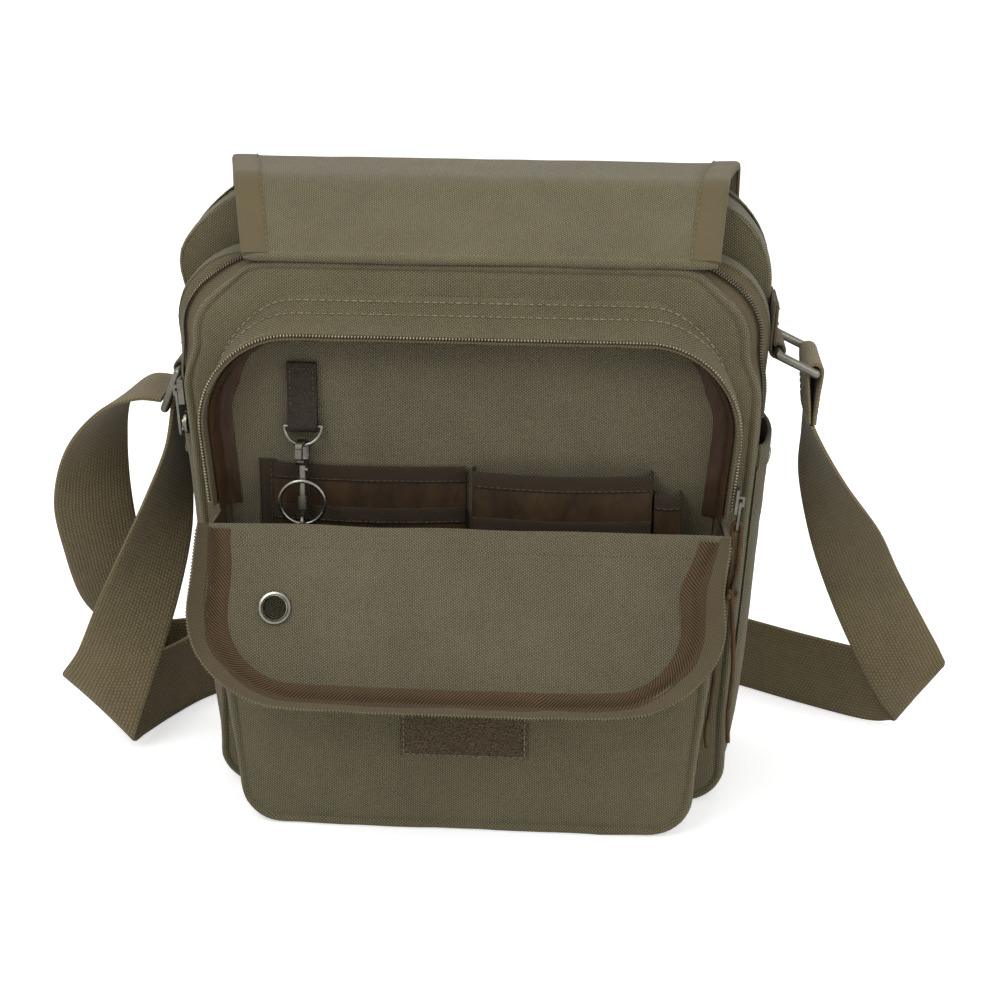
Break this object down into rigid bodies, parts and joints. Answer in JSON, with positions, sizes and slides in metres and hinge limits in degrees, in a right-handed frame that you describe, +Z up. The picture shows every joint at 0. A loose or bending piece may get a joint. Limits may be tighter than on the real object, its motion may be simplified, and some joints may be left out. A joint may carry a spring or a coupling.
{
  "type": "messenger bag",
  "caption": "Soft canvas messenger bag with two zipped compartments, an organiser pocket with a hinged zip door, a fold-over flap and an adjustable shoulder strap.",
  "frame": {"origin": "Under the middle of the bag on the surface that it stands on", "axes": "+X is the right side seen from the front, -Y is the front, +Z is up"},
  "size_m": [0.4234, 0.2421, 0.2802],
  "materials": {
    "canvas": "washed olive canvas, visible plain weave",
    "flap_edge": "smoother turned canvas hem",
    "lining": "dark brown nylon, slight sheen",
    "binding": "dark brown ribbed twill tape",
    "webbing": "coarse woven cotton webbing",
    "zip": "herringbone tape with a dull metal-coloured coil",
    "closure": "hook and loop tape",
    "leather": "dark brown leather",
    "steel": "antique nickel"
  },
  "bodies": {
    "bag": {"back_panel": "canvas", "main_gusset": "canvas", "divider_panel": "canvas", "front_gusset": "canvas", "front_panel": "canvas", "main_lining": "lining", "front_lining": "lining", "main_zip": "zip", "front_zip": "zip", "pocket_gusset": "canvas", "pocket_lower_panel": "canvas", "pocket_piping": "canvas", "pocket_lining": "lining", "pocket_zip": "zip", "organiser_panel": "canvas", "card_slots_left": "lining", "card_slots_right": "lining", "phone_pocket": "lining", "pen_pocket": "lining", "slot_bindings": "binding", "loop_strip": "closure", "key_tab": "leather", "side_pocket_right": "canvas", "side_pocket_left": "canvas", "ring_tab_right": "binding", "ring_tab_left": "binding", "side_snap": "steel", "strap_long": "webbing", "strap_short": "webbing"},
    "flap_front": {"flap_front": "canvas", "flap_front_edges": "flap_edge"},
    "flap_top": {"flap_top": "canvas", "flap_top_edges": "flap_edge"},
    "flap_tail": {"flap_tail": "canvas", "flap_tail_edges": "flap_edge", "hook_strip": "closure"},
    "door": {"door_panel": "canvas", "door_rim": "canvas", "door_binding": "binding", "door_zip": "zip", "grommet": "steel", "grommet_washer": "steel"},
    "main_slider": {"main_slider": "steel"},
    "main_pull": {"main_pull": "steel"},
    "front_slider": {"front_slider": "steel"},
    "front_pull": {"front_pull": "steel"},
    "pocket_slider": {"pocket_slider": "steel"},
    "pocket_pull": {"pocket_pull": "steel", "lace_pull": "leather"},
    "key_dring": {"key_dring": "steel"},
    "snap_hook": {"snap_hook": "steel"},
    "hook_gate": {"hook_gate": "steel"},
    "swivel_eye": {"swivel_eye": "steel"},
    "key_ring": {"key_ring": "steel"},
    "ring_right": {"ring_right": "steel", "strap_loop_right": "webbing"},
    "ring_left": {"ring_left": "steel", "strap_turn_left": "webbing"},
    "strap_adjuster": {"strap_adjuster": "steel"}
  },
  "joints": [
    {"name": "flap_fold", "type": "hinge", "parent": "bag", "child": "flap_front", "pos_m": [0, -0.0229, 0.2512], "axis": [1, 0, 0], "range_deg": [0, 172]},
    {"name": "flap_bend_top", "type": "hinge", "parent": "flap_front", "child": "flap_top", "pos_m": [0, 0.012, 0.2782], "axis": [1, 0, 0], "range_deg": [0, 69.58]},
    {"name": "flap_bend_tail", "type": "hinge", "parent": "flap_top", "child": "flap_tail", "pos_m": [0, 0.0594, 0.2782], "axis": [1, 0, 0], "range_deg": [0, 86.98]},
    {"name": "door_fold", "type": "hinge", "parent": "bag", "child": "door", "pos_m": [0, -0.057, 0.143], "axis": [-1, 0, 0], "range_deg": [0, 155]},
    {"name": "main_zip_slide", "type": "slide", "parent": "bag", "child": "main_slider", "axis": [-0.0581, 0, 0.9983], "range_m": [0, 0.024]},
    {"name": "main_pull_swing", "type": "hinge", "parent": "main_slider", "child": "main_pull", "pos_m": [-0.12993, 0.044, 0.19127], "axis": [0, 1, 0], "range_deg": [0, 90]},
    {"name": "front_zip_slide", "type": "slide", "parent": "bag", "child": "front_slider", "axis": [-0.0581, 0, 0.9983], "range_m": [0, 0.024]},
    {"name": "front_pull_swing", "type": "hinge", "parent": "front_slider", "child": "front_pull", "pos_m": [-0.12976, -0.0128, 0.18827], "axis": [0, 1, 0], "range_deg": [0, 90]},
    {"name": "pocket_zip_slide", "type": "slide", "parent": "bag", "child": "pocket_slider", "axis": [0.0857, 0, 0.9963], "range_m": [0, 0.02]},
    {"name": "pocket_pull_swing", "type": "hinge", "parent": "pocket_slider", "child": "pocket_pull", "pos_m": [0.11598, -0.0389, 0.15315], "axis": [0, -1, 0], "range_deg": [0, 60]},
    {"name": "dring_swing", "type": "hinge", "parent": "bag", "child": "key_dring", "pos_m": [-0.0725, -0.0264, 0.1775], "axis": [-1, 0, 0], "range_deg": [0, 8]},
    {"name": "hook_swing", "type": "hinge", "parent": "key_dring", "child": "snap_hook", "pos_m": [-0.0725, -0.02877, 0.16975], "axis": [-1, 0, 0], "range_deg": [0, 7]},
    {"name": "gate_press", "type": "hinge", "parent": "snap_hook", "child": "hook_gate", "pos_m": [-0.07363, -0.03265, 0.16477], "axis": [-0.9397, 0.3383, -0.0506], "range_deg": [0, 22], "stiffness_Nm_per_rad": 0.02},
    {"name": "hook_swivel", "type": "hinge", "parent": "snap_hook", "child": "swivel_eye", "pos_m": [-0.0725, -0.03381, 0.13603], "axis": [0, 0.1478, 0.989], "range_deg": [-8, 8]},
    {"name": "key_ring_swing", "type": "hinge", "parent": "swivel_eye", "child": "key_ring", "pos_m": [-0.0725, -0.03381, 0.13523], "axis": [1, 0, 0], "range_deg": [0, 178]},
    {"name": "right_ring_swing", "type": "hinge", "parent": "bag", "child": "ring_right", "pos_m": [0.1316, 0.0155, 0.208], "axis": [0, -1, 0], "range_deg": [0, 40]},
    {"name": "left_ring_swing", "type": "hinge", "parent": "bag", "child": "ring_left", "pos_m": [-0.13079, 0.0155, 0.194], "axis": [0, 1, 0], "range_deg": [0, 25], "deforming": ["strap_short", "strap_turn_left"]},
    {"name": "adjuster_slide", "type": "slide", "parent": "bag", "child": "strap_adjuster", "axis": [1, 0, 0], "range_m": [0, 0.024]}
  ],
  "couplings": [
    {"joint": "flap_bend_top", "follows": "flap_fold", "ratio": 0.40449},
    {"joint": "flap_bend_tail", "follows": "flap_fold", "ratio": 0.50562}
  ]
}
